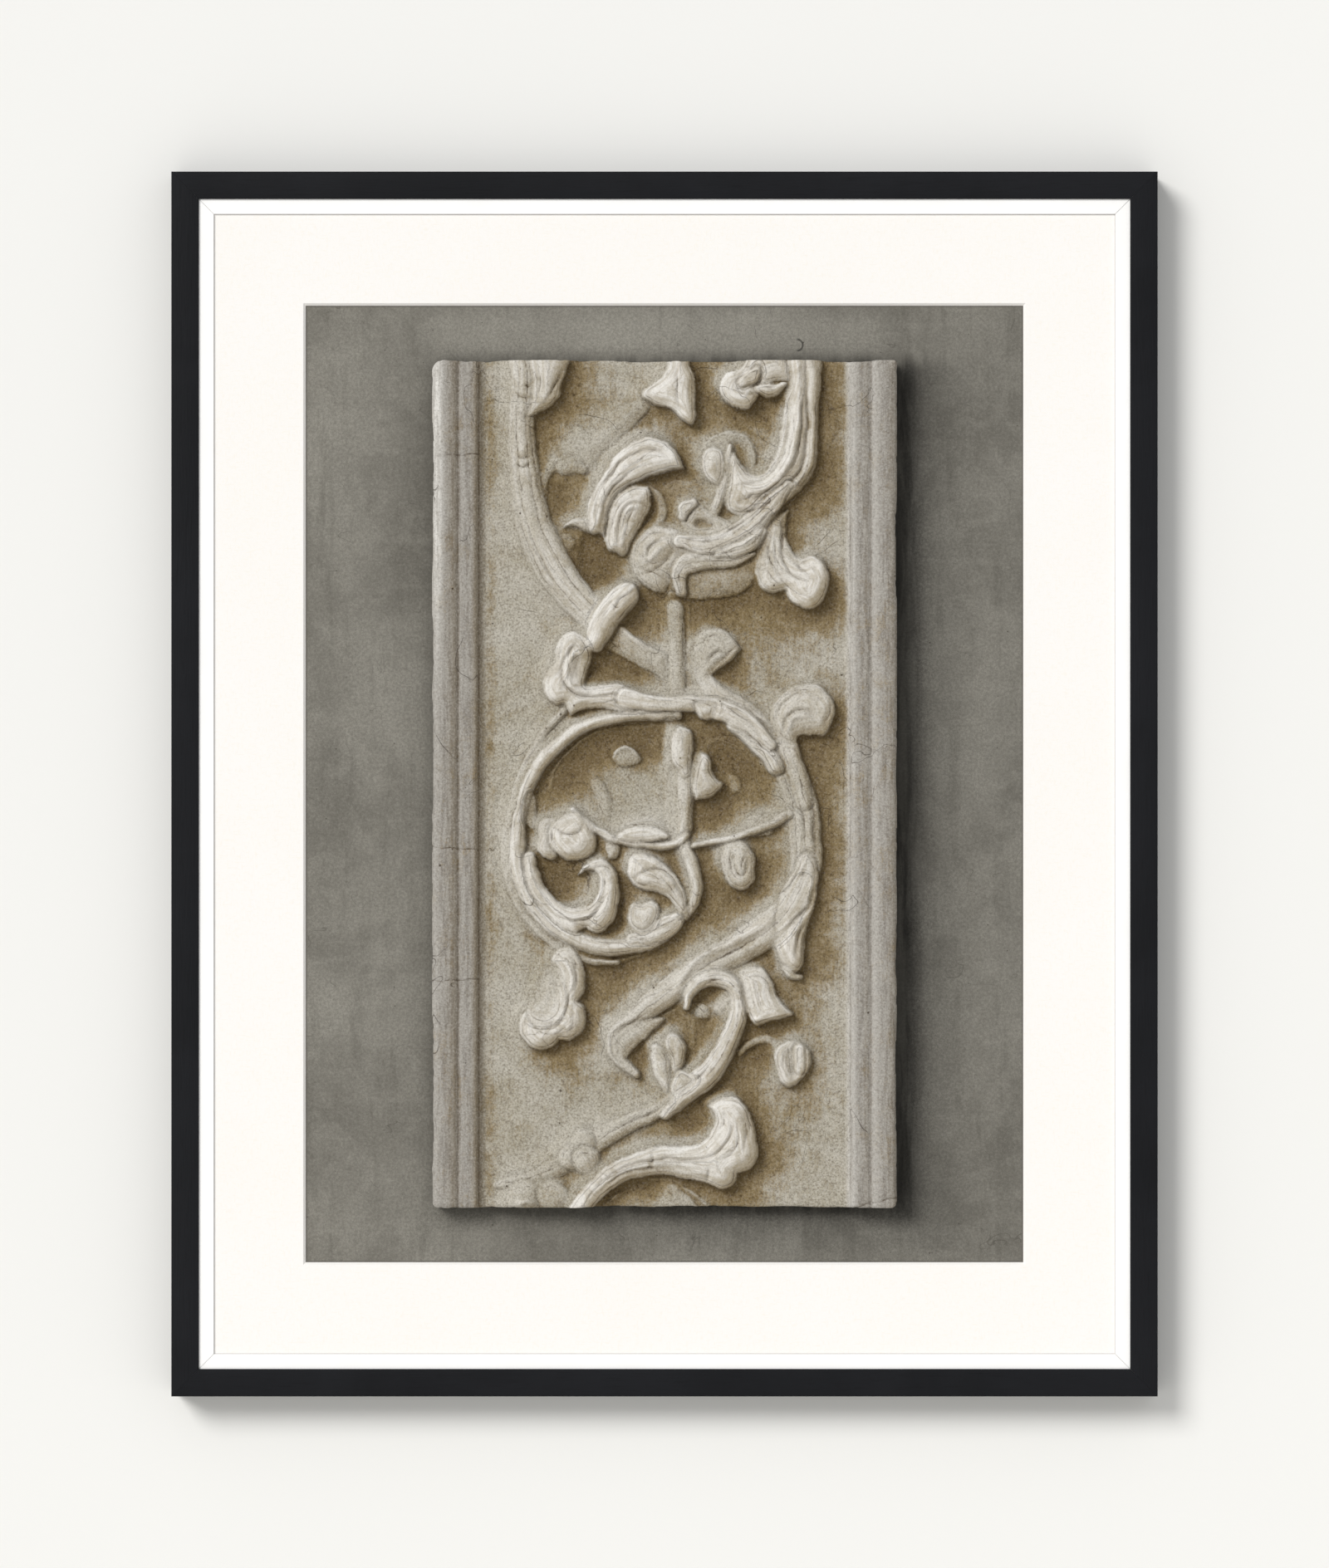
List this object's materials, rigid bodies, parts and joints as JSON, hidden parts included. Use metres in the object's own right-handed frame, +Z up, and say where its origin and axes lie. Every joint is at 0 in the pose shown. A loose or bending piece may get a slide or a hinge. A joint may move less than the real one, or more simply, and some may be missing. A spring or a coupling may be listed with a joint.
{
  "type": "framed relief",
  "caption": "Framed plaster relief of leaf scrolls between side mouldings, on a grey board behind a cream mat in a black frame, made to hang on a wall.",
  "frame": {"origin": "on the wall plane, at the middle of the top rail's flat back, where the frame rests against the wall", "axes": "+Z up along the height, +X to the viewer's right, +Y into the wall, front facing -Y"},
  "size_m": [0.628, 0.0486, 0.7801],
  "materials": {
    "black_frame": "satin black paint",
    "white_slip": "matte white paint",
    "cream_mat": "matte",
    "grey_board": "matte grey wash",
    "plaster": "matte, brown patina in the hollows"
  },
  "bodies": {
    "root": {"frame_rail_top": "black_frame", "frame_rail_bottom": "black_frame", "frame_rail_left": "black_frame", "frame_rail_right": "black_frame", "slip_strip_top": "white_slip", "slip_strip_bottom": "white_slip", "slip_strip_left": "white_slip", "slip_strip_right": "white_slip", "cream_mat": "cream_mat", "grey_mount_board": "grey_board", "relief_panel": "plaster"}
  },
  "joints": []
}
